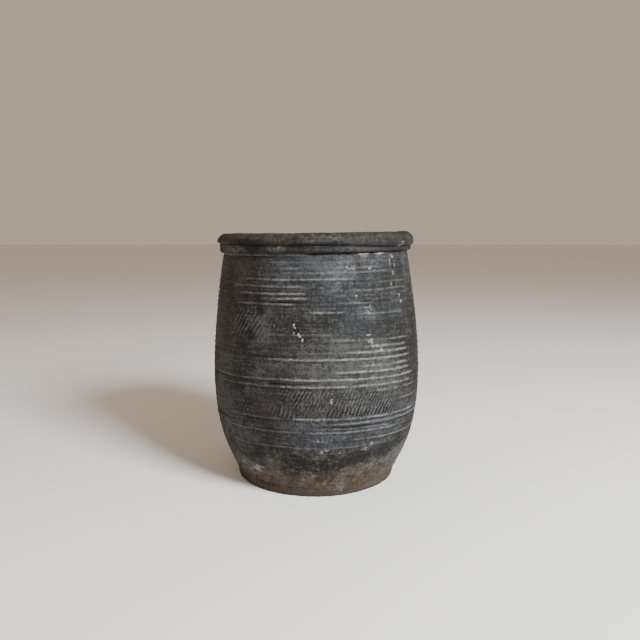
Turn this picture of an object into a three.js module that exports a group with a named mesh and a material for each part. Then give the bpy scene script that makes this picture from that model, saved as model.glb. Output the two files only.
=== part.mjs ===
// A tall-bellied storage jar of black, smoke-fired clay, in millimetres, +Z up.
// The origin is the centre of the underside, where the jar stands.
//
// The jar is built by hand from wet clay: a beaten slab for the base, five courses of coiled
// clay drawn thin one above the other, and a collar of two rolls round the mouth. Each piece
// is luted to the next with a film of slip, and a ring tooled over each join hides it.
import * as THREE from "three";

// Driving dimensions
const height = 345; // underside to the top of the rim
const bellyRadius = 147;
const bellyHeight = 155; // where the jar is widest
const footRadius = 109; // the curve of the wall, carried on down to the ground
const neckRadius = 129; // outside of the wall, just under the collar
const lowerFullness = 2.3; // below the belly: 1 would be a straight cone, 2 about an arc
const upperFullness = 1.65; // the same, above the belly
const wall = 10;
const slabThickness = 12;
const slabSetback = 1.9; // how far the slab's edge stands in from the wall on top of it
const slabEdgeRound = 2;
const cornerRound = 13; // clay pressed into the corner between the floor and the wall

const lowerCourseHeight = 92;
const bellyCourseHeight = 56;
const middleCourseHeight = 33;
const shoulderCourseHeight = 67; // and the neck course runs on up to the upper roll

const beadHeight = 11; // the lower, thinner roll of the collar
const beadReach = 5.5; // how far it stands out from the wall
const rollHeight = 16; // the upper, fatter roll
const rollReach = 9;
const rollTuck = 3.5; // how far the roll draws in above the bead
const rollSlopeWidth = 9; // the slope from the widest line of the roll up to its flat top
const rollSlopeHeight = 10.5;
const rollFullness = 0.35; // 0 would be a straight slope, 1 a full round
const mouthStep = 1.5; // how far the roll stands into the mouth
const mouthRound = 2.5; // the inner edges of the roll

const joinDrop = 8; // how much lower each join is on the inside
const ringBevel = 1.2; // the tooled ring that runs over each join
const slip = 0.3; // film of slip between two pieces of clay

const segments = 60; // facets round the jar
const facetHeight = 18; // the longest facet up the wall
const roundSteps = 4; // facets in a rounded edge

const rollBase = height - rollHeight;
const beadBase = rollBase - beadHeight;
const floorLevel = slabThickness;

const clay = (colour, roughness) =>
  new THREE.MeshStandardMaterial({ color: colour, roughness, metalness: 0 });
const smokedClay = () => clay(0x4c4b48, 0.82);
const rimClay = () => clay(0x3c3a37, 0.78);
const footClay = () => clay(0x5d5046, 0.9);

// The outside of the wall: a full curve from the foot to the belly and another to the neck.
function outerRadius(z) {
  if (z <= bellyHeight) {
    const down = (bellyHeight - z) / bellyHeight;
    return bellyRadius - (bellyRadius - footRadius) * down ** lowerFullness;
  }
  const up = Math.min(1, (z - bellyHeight) / (beadBase - bellyHeight));
  return bellyRadius - (bellyRadius - neckRadius) * up ** upperFullness;
}

// The inside of the wall, with the clay pressed into the corner at the floor.
function innerRadius(z) {
  const below = Math.max(0, cornerRound - (z - floorLevel));
  const corner = cornerRound - Math.sqrt(cornerRound ** 2 - below ** 2);
  return outerRadius(z) - wall - corner;
}

// Heights from low to high in even steps, both ends included.
function heights(low, high, longest) {
  const steps = Math.max(1, Math.ceil((high - low) / longest));
  return Array.from({ length: steps + 1 }, (_, i) => low + ((high - low) * i) / steps);
}

// Points of an oval arc in the (radius, height) plane, with angles in degrees from +radius.
function arc([radius, z], halfWidth, halfHeight, from, to) {
  return Array.from({ length: roundSteps + 1 }, (_, i) => {
    const angle = THREE.MathUtils.degToRad(from + ((to - from) * i) / roundSteps);
    return [radius + halfWidth * Math.cos(angle), z + halfHeight * Math.sin(angle)];
  });
}

// A named ring or disc turned from its outline of [radius, height] points, anticlockwise.
// A ring's outline closes on itself; a disc's runs from the axis back to the axis.
function turned(name, outline, material) {
  const points = outline.map(([radius, z]) => new THREE.Vector2(radius, z));
  if (points[0].x > 0) points.push(points[0].clone());
  const geometry = new THREE.LatheGeometry(points, segments);
  geometry.rotateX(Math.PI / 2);
  const mesh = new THREE.Mesh(geometry, material);
  mesh.name = name;
  return mesh;
}

// The base: a beaten disc with an upright edge, nearly as wide as the wall on top of it.
function baseSlab() {
  const top = slabThickness - slip;
  const radius = outerRadius(slabThickness) - slabSetback;
  const edge = [radius - slabEdgeRound, slabEdgeRound];
  const outline = [
    [0, 0],
    ...arc(edge, slabEdgeRound, slabEdgeRound, -90, 0),
    [outerRadius(top) - ringBevel, top],
    [0, top],
  ];
  return turned("base_slab", outline, footClay());
}

// One course of the wall, its outer edges between the heights low and high. Its joins slope
// down to the inside, apart from a flat seat on the base slab and a flat top under the roll.
function course(name, low, high, material) {
  const onSlab = low === floorLevel;
  const underRoll = high === rollBase;
  const top = high - slip;
  const innerLow = onSlab ? low : low - joinDrop;
  const innerTop = underRoll ? top : top - joinDrop;
  const outside = underRoll
    ? [...heights(low + ringBevel, beadBase, facetHeight), top]
    : heights(low + ringBevel, top - ringBevel, facetHeight);
  const plain = onSlab ? low + cornerRound : innerLow;
  const corner = onSlab ? heights(low, plain, cornerRound / roundSteps).slice(0, -1) : [];
  const inside = [...corner, ...heights(plain, innerTop, facetHeight)].reverse();
  const outline = [
    [outerRadius(low) - ringBevel, low],
    ...outside.map((z) => [outerRadius(z), z]),
    ...(underRoll ? [] : [[outerRadius(top) - ringBevel, top]]),
    ...inside.map((z) => [innerRadius(z), z]),
  ];
  return turned(name, outline, material);
}

// The lower roll of the collar: a flattened coil wrapped round the top of the wall.
function rimBead() {
  const inner = neckRadius + slip;
  const top = rollBase - slip;
  const shoulder = beadReach / 3;
  const middle = [neckRadius + shoulder, (beadBase + top) / 2];
  const outline = [
    [inner, beadBase],
    ...arc(middle, beadReach - shoulder, (top - beadBase) / 2, -90, 90),
    [inner, top],
  ];
  return turned("rim_bead", outline, rimClay());
}

// The upper roll: a fat coil on top of the wall and the bead. It swells out to its widest
// line, then slopes back to a flat top, and both its inner edges are rounded.
function rimRoll() {
  const widest = neckRadius + rollReach;
  const widestHeight = height - rollSlopeHeight;
  const mouth = innerRadius(beadBase) - mouthStep;
  const slope = new THREE.QuadraticBezierCurve(
    new THREE.Vector2(widest, widestHeight),
    new THREE.Vector2(
      widest - (rollSlopeWidth * (1 - rollFullness)) / 2,
      height - (rollSlopeHeight * (1 - rollFullness)) / 2
    ),
    new THREE.Vector2(widest - rollSlopeWidth, height)
  );
  const swell = arc([widest - rollTuck, widestHeight], rollTuck, widestHeight - rollBase, -90, 0);
  const outline = [
    ...swell.slice(0, -1),
    ...slope.getPoints(roundSteps).map(({ x, y }) => [x, y]),
    ...arc([mouth + mouthRound, height - mouthRound], mouthRound, mouthRound, 90, 180),
    ...arc([mouth + mouthRound, rollBase + mouthRound], mouthRound, mouthRound, 180, 270),
  ];
  return turned("rim_roll", outline, rimClay());
}

// The jar, from the ground up
const lowerTop = floorLevel + lowerCourseHeight;
const bellyTop = lowerTop + bellyCourseHeight;
const middleTop = bellyTop + middleCourseHeight;
const shoulderTop = middleTop + shoulderCourseHeight;

const jar = new THREE.Group();
jar.add(
  baseSlab(),
  course("lower_course", floorLevel, lowerTop, footClay()),
  course("belly_course", lowerTop, bellyTop, smokedClay()),
  course("middle_course", bellyTop, middleTop, smokedClay()),
  course("shoulder_course", middleTop, shoulderTop, smokedClay()),
  course("neck_course", shoulderTop, rollBase, smokedClay()),
  rimBead(),
  rimRoll()
);

export default jar;
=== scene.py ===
"""A hand-built storage jar of black, smoke-fired clay, standing on a pale floor.

Lengths in the outlines and in the lists of tool marks are in millimetres, and angles round
the jar are in degrees from the front (-Y), positive towards +X. Meshes are in metres.
"""
import math

import bpy
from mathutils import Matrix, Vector


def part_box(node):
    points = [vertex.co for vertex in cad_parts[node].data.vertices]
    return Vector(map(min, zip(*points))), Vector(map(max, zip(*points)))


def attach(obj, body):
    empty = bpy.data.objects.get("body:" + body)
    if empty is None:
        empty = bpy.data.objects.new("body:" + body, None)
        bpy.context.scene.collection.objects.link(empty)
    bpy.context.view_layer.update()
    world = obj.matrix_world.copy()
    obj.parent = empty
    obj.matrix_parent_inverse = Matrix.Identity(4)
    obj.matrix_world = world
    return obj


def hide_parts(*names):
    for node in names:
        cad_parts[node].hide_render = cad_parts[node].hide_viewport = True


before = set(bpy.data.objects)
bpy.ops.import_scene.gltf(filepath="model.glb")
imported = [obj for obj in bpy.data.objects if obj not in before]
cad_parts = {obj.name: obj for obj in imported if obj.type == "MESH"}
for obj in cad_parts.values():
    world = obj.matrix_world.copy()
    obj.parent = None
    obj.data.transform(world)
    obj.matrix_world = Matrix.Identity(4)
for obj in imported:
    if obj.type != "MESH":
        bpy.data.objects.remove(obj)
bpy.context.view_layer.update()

# ---- Base slab -------------------------------------------------------------------------
# The floor of the jar: a disc of clay beaten flat and cut with an upright edge, which a wet
# thumb has blunted. The clay stayed brown where the smoke of the firing didn't reach it.

MM = 0.001
SLIP = 0.05  # what is left of the film of slip once a join is smoothed over
BELLY_RADIUS = 147.0
BELLY_HEIGHT = 155.0
FOOT_RADIUS = 109.0
NECK_RADIUS = 129.0
LOWER_FULLNESS = 2.3
UPPER_FULLNESS = 1.65
WALL = 10.0
CORNER_ROUND = 13.0
ARC_PER_DEGREE = BELLY_RADIUS * math.pi / 180
OUTSIDE, JOIN, INSIDE = 1.0, 0.0, -1.0  # which side of the wall a point is on

slab_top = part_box("base_slab")[1].z / MM
collar_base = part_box("rim_bead")[0].z / MM
roll_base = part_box("rim_roll")[0].z / MM
jar_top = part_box("rim_roll")[1].z / MM


def outer_radius(z):
    """The outside of the wall: one curve from the foot to the belly, another to the neck."""
    if z <= BELLY_HEIGHT:
        down = (BELLY_HEIGHT - z) / BELLY_HEIGHT
        return BELLY_RADIUS - (BELLY_RADIUS - FOOT_RADIUS) * down**LOWER_FULLNESS
    up = min(1.0, (z - BELLY_HEIGHT) / (collar_base - BELLY_HEIGHT))
    return BELLY_RADIUS - (BELLY_RADIUS - NECK_RADIUS) * up**UPPER_FULLNESS


def inner_radius(z):
    """The inside of the wall, with clay pressed into the corner at the floor."""
    below = max(0.0, CORNER_ROUND - (z - slab_top))
    corner = CORNER_ROUND - math.sqrt(max(0.0, CORNER_ROUND**2 - below**2))
    return outer_radius(z) - WALL - corner


def line(start, end, spacing, side):
    """Evenly spaced (radius, height, side) points from start up to, but not on, end."""
    steps = max(1, round(math.dist(start, end) / spacing))
    across, up = end[0] - start[0], end[1] - start[1]
    return [
        (start[0] + across * i / steps, start[1] + up * i / steps, side) for i in range(steps)
    ]


def arc(centre, half_width, half_height, start, end, steps, side):
    """(radius, height, side) points of an oval arc, both ends included, angles in degrees."""
    points = []
    for i in range(steps + 1):
        angle = math.radians(start + (end - start) * i / steps)
        across, up = half_width * math.cos(angle), half_height * math.sin(angle)
        points.append((centre[0] + across, centre[1] + up, side))
    return points


def outline_object(name, points):
    """An object that holds only the points of an outline, each with its side of the wall."""
    mesh = bpy.data.meshes.new(name)
    mesh.from_pydata([(radius * MM, 0.0, z * MM) for radius, z, _ in points], [], [])
    sides = mesh.attributes.new("side", "FLOAT", "POINT")
    sides.data.foreach_set("value", [side for _, _, side in points])
    made = bpy.data.objects.new(name, mesh)
    bpy.context.scene.collection.objects.link(made)
    return made


class Wires:
    """Adds nodes to one tree and joins them up. Its sockets are named by kind."""

    def __init__(self, name, inputs, outputs, kind="GeometryNodeTree"):
        self.tree = bpy.data.node_groups.new(name, kind)
        for direction, sockets in (("INPUT", inputs), ("OUTPUT", outputs)):
            for socket_type, names in sockets.items():
                for socket in names:
                    self.tree.interface.new_socket(
                        socket, in_out=direction, socket_type="NodeSocket" + socket_type
                    )
        self.given = self.add("NodeGroupInput").outputs
        self.result = self.add("NodeGroupOutput").inputs

    def add(self, kind, inputs=None, **settings):
        node = self.tree.nodes.new(kind)
        for setting, value in settings.items():
            setattr(node, setting, value)
        for socket, value in (inputs or {}).items():
            self.feed(node.inputs[socket], value)
        return node

    def feed(self, socket, value):
        if isinstance(value, bpy.types.NodeSocket):
            self.tree.links.new(value, socket)
        else:
            socket.default_value = value

    def calc(self, operation, *values):
        return self.add("ShaderNodeMath", dict(enumerate(values)), operation=operation).outputs[0]

    def chain(self, operation, values):
        result = values[0]
        for value in values[1:]:
            result = self.calc(operation, result, value)
        return result

    def total(self, *values):
        return self.chain("ADD", values)

    def product(self, *values):
        return self.chain("MULTIPLY", values)

    def most(self, *values):
        return self.chain("MAXIMUM", values)

    def less(self, value, taken):
        return self.calc("SUBTRACT", value, taken)

    def ratio(self, value, divisor):
        return self.calc("DIVIDE", value, divisor)

    def fade(self, value, start, end):
        """0 where value is at start, rising smoothly to 1 at end, which may be the lower."""
        inputs = {"Value": value, "From Min": start, "From Max": end}
        node = self.add("ShaderNodeMapRange", inputs, interpolation_type="SMOOTHSTEP")
        return node.outputs["Result"]

    def bump(self, value, centre, width):
        """1 where value is at centre, falling off on both sides as a bell does."""
        away = self.ratio(self.less(value, centre), width)
        return self.calc("EXPONENT", self.product(away, away, -1.0))

    def split(self, vector):
        return self.add("ShaderNodeSeparateXYZ", {"Vector": vector}).outputs

    def joined(self, x, y, z=0.0):
        return self.add("ShaderNodeCombineXYZ", {"X": x, "Y": y, "Z": z}).outputs["Vector"]

    def position(self):
        return self.add("GeometryNodeInputPosition").outputs["Position"]

    def vector(self, operation, first, second, output=0):
        node = self.add("ShaderNodeVectorMath", {0: first}, operation=operation)
        self.feed(node.inputs["Scale" if operation == "SCALE" else 1], second)
        return node.outputs[output]

    def noise(self, vector, scale, detail=2.0, seed=0.0, roughness=0.5):
        """Cloudy noise, mostly from 0.3 to 0.7. scale is in clouds per unit of the vector."""
        inputs = {"Vector": vector, "W": seed, "Scale": scale, "Detail": detail}
        inputs["Roughness"] = roughness
        return self.add("ShaderNodeTexNoise", inputs, noise_dimensions="4D").outputs["Fac"]

    def cloudy(self, scale, detail, seed, depth, stretch=None, roughness=0.5):
        """Noise about nothing at this tree's own place: about 0.2 of depth each way."""
        at = self.vector("MULTIPLY", self.place, stretch) if stretch else self.place
        noise = self.noise(at, scale, detail, seed, roughness)
        return self.product(self.less(noise, 0.5), depth)

    def group(self, tree, **inputs):
        kind = "GeometryNodeGroup" if tree.bl_idname == "GeometryNodeTree" else "ShaderNodeGroup"
        inputs = {name.replace("_", " "): value for name, value in inputs.items()}
        return self.add(kind, inputs, node_tree=tree).outputs

    def kept(self, clay, name, value, kind="FLOAT", domain="POINT"):
        inputs = {"Geometry": clay, "Name": name, "Value": value}
        node = self.add(
            "GeometryNodeStoreNamedAttribute", inputs, data_type=kind, domain=domain
        )
        return node.outputs["Geometry"]

    def known(self, name, kind="FLOAT"):
        node = self.add("GeometryNodeInputNamedAttribute", {"Name": name}, data_type=kind)
        return node.outputs["Attribute"]


def turning_tree():
    """Turns an outline round the jar's axis into one closed body of clay."""
    inputs = {"Geometry": ["Outline"], "Int": ["Closed", "Steps Round"]}
    w = Wires("Turned outline", inputs, {"Geometry": ["Clay"]})
    outline = w.given["Outline"]
    size = w.add("GeometryNodeAttributeDomainSize", {"Geometry": outline}).outputs["Point Count"]
    rows = w.total(size, w.given["Closed"])
    columns = w.total(w.given["Steps Round"], 1.0)
    grid = w.add("GeometryNodeMeshGrid", {"Vertices X": columns, "Vertices Y": rows})
    index = w.add("GeometryNodeInputIndex").outputs["Index"]
    column = w.calc("FLOOR", w.ratio(w.total(index, 0.5), rows))
    row = w.less(index, w.product(column, rows))
    point = w.calc("MODULO", row, size)
    sampled = {}
    for kind, value in (("FLOAT_VECTOR", w.position()), ("FLOAT", w.known("side"))):
        inputs = {"Geometry": outline, "Value": value, "Index": point}
        sampled[kind] = w.add("GeometryNodeSampleIndex", inputs, data_type=kind).outputs["Value"]
    radius, _, height = w.split(sampled["FLOAT_VECTOR"])
    turn = w.product(w.ratio(column, w.given["Steps Round"]), 2 * math.pi)
    turn = w.less(turn, math.pi)
    x = w.product(radius, w.calc("SINE", turn))
    y = w.product(radius, w.calc("COSINE", turn), -1.0)
    around = w.joined(x, y, height)

    # The map is cut into four strips round the jar, stacked, so that it is less stretched.
    strips, margin = 4.0, 0.01
    faces_up = w.less(rows, 1.0)
    face_column = w.calc("FLOOR", w.ratio(w.total(index, 0.5), faces_up))
    strip = w.ratio(w.product(face_column, strips), w.given["Steps Round"])
    strip = w.calc("FLOOR", w.total(strip, 0.001))
    strip = w.add("GeometryNodeFieldOnDomain", {"Value": strip}, domain="FACE").outputs["Value"]
    along, across, _ = w.split(grid.outputs["UV Map"])
    along = w.less(w.product(along, strips), strip)
    across = w.total(w.product(across, 1.0 - 2 * margin), margin)
    across = w.ratio(w.total(across, strip), strips)
    flat = w.joined(along, across)

    clay = w.kept(grid.outputs["Mesh"], "OFBake", flat, "FLOAT2", "CORNER")
    clay = w.kept(clay, "side", sampled["FLOAT"])
    clay = w.add("GeometryNodeSetPosition", {"Geometry": clay, "Position": around})
    clay = w.add("GeometryNodeMergeByDistance", {"Geometry": clay.outputs[0], "Distance": 1e-6})
    clay = w.kept(clay.outputs[0], "turned", w.position(), "FLOAT_VECTOR")
    w.feed(w.result["Clay"], clay)
    return w.tree


def polar(w):
    """The angle round the jar, the height and the whole place, in degrees and millimetres."""
    place = w.position()
    x, y, z = w.split(place)
    angle = w.calc("DEGREES", w.calc("ARCTAN2", x, w.product(y, -1.0)))
    w.place = w.vector("SCALE", place, 1 / MM)
    return angle, w.ratio(z, MM), w.place


def moved_out(w, clay, rise):
    """Moves the clay along its own normals by rise, in millimetres."""
    normal = w.add("GeometryNodeInputNormal").outputs[0]
    offset = w.vector("SCALE", normal, w.product(rise, MM))
    node = w.add("GeometryNodeSetPosition", {"Geometry": clay, "Offset": offset})
    return node.outputs["Geometry"]


PIT_DEPTH = 0.8
PITS_PER_MM = 0.075  # along any line, before most of them are left out
PITS_LEFT_OUT = 0.75
PIT_REACH, PIT_REACH_MORE = 0.06, 0.11  # in spacings: the smallest, and what the widest adds


def handling_tree():
    """The unevenness that hands leave in wet clay, with grit, pits and fine turning lines."""
    inputs = {"Geometry": ["Clay"], "Float": ["Lumps", "Turning", "Finger Lines", "Coarse"]}
    w = Wires("Handled clay", inputs, {"Geometry": ["Clay"]})
    _, height, place = polar(w)
    side = w.known("side")
    outside = w.most(side, 0.0)
    inside = w.most(w.product(side, -1.0), 0.0)

    lumps = w.total(w.cloudy(0.012, 1.0, 1.0, 3.0), w.cloudy(0.05, 2.0, 2.0, 1.2))
    lumps = w.product(lumps, w.given["Lumps"], w.calc("ABSOLUTE", side))

    lines = w.total(
        w.cloudy(1.0, 3.0, 3.0, 1.5, (0.010, 0.010, 0.26), 0.6),
        w.cloudy(1.0, 2.0, 4.0, 0.9, (0.045, 0.045, 0.42), 0.6),
    )
    lines = w.product(lines, w.given["Turning"])
    low = w.most(w.fade(height, 100.0, 66.0), w.given["Coarse"])
    coarse = w.product(w.cloudy(0.13, 3.0, 5.0, 2.6, None, 0.62), low)
    grain = w.cloudy(0.38, 2.0, 6.0, 0.62)

    cells = {"Vector": place, "Scale": PITS_PER_MM, "Randomness": 1.0}
    cell = w.add("ShaderNodeTexVoronoi", cells, voronoi_dimensions="3D").outputs
    lot, _, chance = w.split(cell["Color"])
    chosen = w.fade(chance, PITS_LEFT_OUT - 0.01, PITS_LEFT_OUT + 0.01)
    reach = w.total(w.product(lot, PIT_REACH_MORE), PIT_REACH)
    pit = w.product(w.fade(cell["Distance"], reach, 0.0), chosen)
    relief = w.product(w.total(lines, coarse, grain, w.product(pit, -PIT_DEPTH)), outside)

    sag = w.product(w.noise(place, 0.02, 1.0, 7.0), 9.0)
    wave = w.total(w.product(height, 0.42), sag)
    fingers = w.product(w.calc("SINE", wave), w.noise(place, 0.015, 1.0, 8.0), 1.4)
    scraped = w.cloudy(1.0, 3.0, 9.0, 1.2, (0.03, 0.03, 0.4))
    fingers = w.product(w.total(fingers, scraped), w.given["Finger Lines"], inside)

    clay = w.kept(w.given["Clay"], "relief", w.total(relief, w.product(fingers, 0.3)))
    w.feed(w.result["Clay"], moved_out(w, clay, w.total(lumps, relief, fingers)))
    return w.tree


# How the soft jar settled, in millimetres, apart from the last, a share of the radius.
BELLY_BOW = 1.5  # to the right
RING_SAG = 5.0  # of the rings, at the sides
RIM_LIFT = 1.9  # half of what the rim rises on the right
ROLL_SLUMP = 4.2  # of the crease under the upper roll, on the right
OUT_OF_ROUND = 0.004


def settling_tree():
    """How the soft jar settled before it dried: its belly bowed and out of round, its rings
    sagging, its rim higher on the right, and its two rolls uneven."""
    amounts = ["Belly Bow", "Ring Sag", "Rim Lift", "Out Of Round", "Droop", "Roll Slump"]
    inputs = {"Geometry": ["Clay"], "Float": amounts, "Material": ["Finish"]}
    w = Wires("Settled clay", inputs, {"Geometry": ["Clay"]})
    angle, height, _ = polar(w)
    turn = w.calc("RADIANS", angle)
    x, y, z = w.split(w.position())
    wider = w.product(w.calc("COSINE", w.product(turn, 2.0)), -1.0)
    lobes = w.calc("COSINE", w.product(turn, 3.0))
    swell = w.product(w.total(wider, w.product(lobes, 0.5)), w.given["Out Of Round"])
    swell = w.total(w.product(swell, w.fade(height, 30.0, 130.0)), 1.0)
    up = w.calc("POWER", w.ratio(w.most(height, 0.0), collar_base), 0.6)
    bow = w.calc("SINE", w.product(up, math.pi))
    x = w.total(w.product(x, swell), w.product(bow, w.given["Belly Bow"], MM))
    y = w.product(y, swell)
    sine = w.calc("SINE", turn)
    sag = w.product(sine, sine, w.given["Ring Sag"], MM)
    sag = w.product(sag, w.fade(height, 5.0, 85.0), w.fade(height, 275.0, 195.0))
    droop = w.product(sine, sine, w.given["Droop"], w.fade(height, roll_base, collar_base))
    slump = w.less(w.fade(sine, 0.05, 0.85), w.product(w.fade(sine, -0.05, -0.85), 0.3))
    slump = w.product(slump, w.given["Roll Slump"])
    slump = w.product(slump, w.fade(height, collar_base + 1.5, roll_base))
    slump = w.product(slump, w.fade(height, roll_base + 10.0, roll_base))
    sunk = w.total(sag, w.product(droop, MM), w.product(slump, MM))
    lift = w.product(w.total(sine, w.product(sine, sine)), w.given["Rim Lift"], MM)
    lift = w.product(lift, w.fade(height, 230.0, collar_base))
    z = w.less(w.total(z, lift), sunk)
    place = w.joined(x, y, z)
    clay = w.add("GeometryNodeSetPosition", {"Geometry": w.given["Clay"], "Position": place})

    sharp = w.add("GeometryNodeInputMeshEdgeAngle").outputs["Unsigned Angle"]
    smooth = w.calc("LESS_THAN", sharp, math.radians(50))
    clay = w.add(
        "GeometryNodeSetShadeSmooth",
        {"Geometry": clay.outputs[0], "Shade Smooth": smooth},
        domain="EDGE",
    )
    clay = w.add("GeometryNodeRealizeInstances", {"Geometry": clay.outputs[0]})
    clay = w.add(
        "GeometryNodeSetMaterial", {"Geometry": clay.outputs[0], "Material": w.given["Finish"]}
    )
    w.feed(w.result["Clay"], clay.outputs[0])
    return w.tree


turning, handling, settling = turning_tree(), handling_tree(), settling_tree()


def work(piece, tree, **values):
    """Puts a tree on a piece as a modifier and sets its named inputs."""
    modifier = piece.modifiers.new(tree.name, "NODES")
    modifier.node_group = tree
    for item in tree.interface.items_tree:
        key = item.name.replace(" ", "_").lower()
        if item.in_out == "INPUT" and key in values:
            modifier[item.identifier] = values[key]


def fire(piece, node):
    """Turns a worked piece into a plain mesh, and lets it stand for its CAD node."""
    graph = bpy.context.evaluated_depsgraph_get()
    mesh = bpy.data.meshes.new_from_object(piece.evaluated_get(graph))
    piece.modifiers.clear()
    piece.data = mesh
    mesh.name = piece.name
    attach(piece, "root")
    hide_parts(node)


def make_piece(name, node, outline, closed, steps_round, surface, finish, droop=0.0):
    """One piece of the jar, from its outline to its fired mesh. surface lists the trees that
    work its surface, each with its values. droop is how far its sides hang, for the bead."""
    piece = outline_object(name, outline)
    work(piece, turning, closed=closed, steps_round=steps_round)
    for tree, values in surface:
        work(piece, tree, **values)
    work(
        piece,
        settling,
        belly_bow=BELLY_BOW,
        ring_sag=RING_SAG,
        rim_lift=RIM_LIFT,
        out_of_round=OUT_OF_ROUND,
        droop=droop,
        roll_slump=ROLL_SLUMP,
        finish=finish,
    )
    fire(piece, node)
    return piece


class Paint(Wires):
    """Wires for a shader tree, with the place on the jar before it settled, in millimetres."""

    def __init__(self, name, inputs, outputs, tree=None):
        if tree:
            self.tree = tree
        else:
            super().__init__(name, inputs, outputs, "ShaderNodeTree")
        place = self.add("ShaderNodeAttribute", attribute_name="turned").outputs["Vector"]
        self.place = self.vector("SCALE", place, 1 / MM)

    def mark(self, attribute):
        return self.add("ShaderNodeAttribute", attribute_name=attribute).outputs["Fac"]

    def laid_over(self, under, mask, colour, strength=1.0):
        inputs = {"Factor": self.product(mask, strength), "A": under, "B": colour}
        mix = self.add("ShaderNodeMix", inputs, data_type="RGBA", clamp_factor=True)
        return mix.outputs["Result"]


def mottle_group():
    """Smoke-fired clay: clouds of grey, streaked by turning, paler where it stands proud."""
    inputs = {"Color": ["Dark", "Light"], "Float": ["Streaks"]}
    w = Paint("Smoke mottling", inputs, {"Color": ["Color"], "Float": ["Shade"]})
    streaks = w.total(
        w.cloudy(1.0, 4.0, 12.0, 1.2, (0.035, 0.035, 0.36), 0.62),
        w.cloudy(1.0, 3.0, 13.0, 1.3, (0.13, 0.13, 0.75), 0.6),
        w.cloudy(1.0, 2.0, 16.0, 1.1, (0.50, 0.50, 0.05), 0.6),
    )
    shade = w.total(
        w.cloudy(0.024, 3.0, 11.0, 1.9, None, 0.55),
        w.cloudy(0.10, 4.0, 14.0, 1.2, None, 0.62),
        w.cloudy(0.50, 3.0, 15.0, 3.4, None, 0.75),
        w.product(streaks, w.given["Streaks"]),
        w.product(w.mark("relief"), 0.8),
        0.42,
    )
    shade = w.fade(shade, 0.0, 1.0)
    colour = w.laid_over(w.given["Dark"], shade, w.given["Light"])
    flecks = w.fade(w.cloudy(1.0, 3.0, 17.0, 1.0, (0.30, 0.30, 0.55), 0.65), 0.17, 0.24)
    ash = (0.17, 0.17, 0.165, 1.0)
    colour = w.laid_over(colour, flecks, ash, 0.75)
    w.feed(w.result["Color"], colour)
    w.feed(w.result["Shade"], shade)
    return w.tree


def earth_group():
    """The foot of the jar: brown, tan and umber earth where little smoke got to it."""
    w = Paint("Earthy foot", {"Color": ["Under"]}, {"Color": ["Color"]})
    height = w.split(w.place)["Z"]
    ragged = w.total(
        w.cloudy(0.018, 2.0, 41.0, 90.0), w.cloudy(0.09, 4.0, 42.0, 60.0, None, 0.65), height
    )
    brown = (0.050, 0.033, 0.019, 1.0)
    tan = (0.135, 0.108, 0.080, 1.0)
    umber = (0.015, 0.012, 0.009, 1.0)
    colour = w.laid_over(w.given["Under"], w.fade(ragged, 60.0, 26.0), brown, 0.85)
    pale = w.fade(w.cloudy(0.10, 5.0, 43.0, 1.0, (1.0, 1.0, 1.5), 0.72), 0.02, 0.10)
    pale = w.product(pale, w.fade(ragged, 82.0, 30.0), w.fade(height, 0.0, 22.0))
    colour = w.laid_over(colour, pale, tan, 0.6)
    dark = w.fade(w.cloudy(0.06, 5.0, 44.0, 1.0, None, 0.70), 0.0, 0.09)
    dark = w.product(dark, w.fade(height, 96.0, 52.0), w.fade(height, 8.0, 24.0))
    colour = w.laid_over(colour, dark, umber, 0.85)
    wiped = w.fade(w.cloudy(1.0, 4.0, 46.0, 1.0, (0.02, 0.02, 0.30), 0.6), -0.10, 0.12)
    colour = w.laid_over(colour, w.product(wiped, w.fade(height, 22.0, 12.0)), umber, 0.45)
    grit = w.fade(w.cloudy(0.30, 3.0, 45.0, 1.0, None, 0.72), 0.03, 0.13)
    grit = w.product(grit, w.fade(height, 78.0, 38.0), w.fade(height, 4.0, 22.0))
    colour = w.laid_over(colour, grit, tan, 0.6)
    w.feed(w.result["Color"], colour)
    return w.tree


def grain_group():
    """Grit, turning scratches, upright scrapes and pinholes, too fine for the mesh."""
    w = Paint("Clay grain", {"Float": ["Grit", "Scratches"]}, {"Float": ["Height"]})
    grit = w.total(w.cloudy(0.5, 4.0, 21.0, 1.6, None, 0.7), w.cloudy(2.2, 2.0, 22.0, 0.4))
    turned = w.cloudy(1.0, 3.0, 23.0, 1.1, (0.06, 0.06, 1.3), 0.6)
    scraped = w.cloudy(1.0, 2.0, 24.0, 0.8, (0.9, 0.9, 0.05), 0.6)
    cells = w.add("ShaderNodeTexVoronoi", {"Vector": w.place, "Scale": 0.4})
    pinholes = w.product(w.fade(cells.outputs["Distance"], 0.28, 0.08), -0.7)
    scratches = w.product(w.total(turned, scraped), w.given["Scratches"])
    height = w.total(w.product(grit, w.given["Grit"]), scratches, pinholes)
    w.feed(w.result["Height"], height)
    return w.tree


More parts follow.
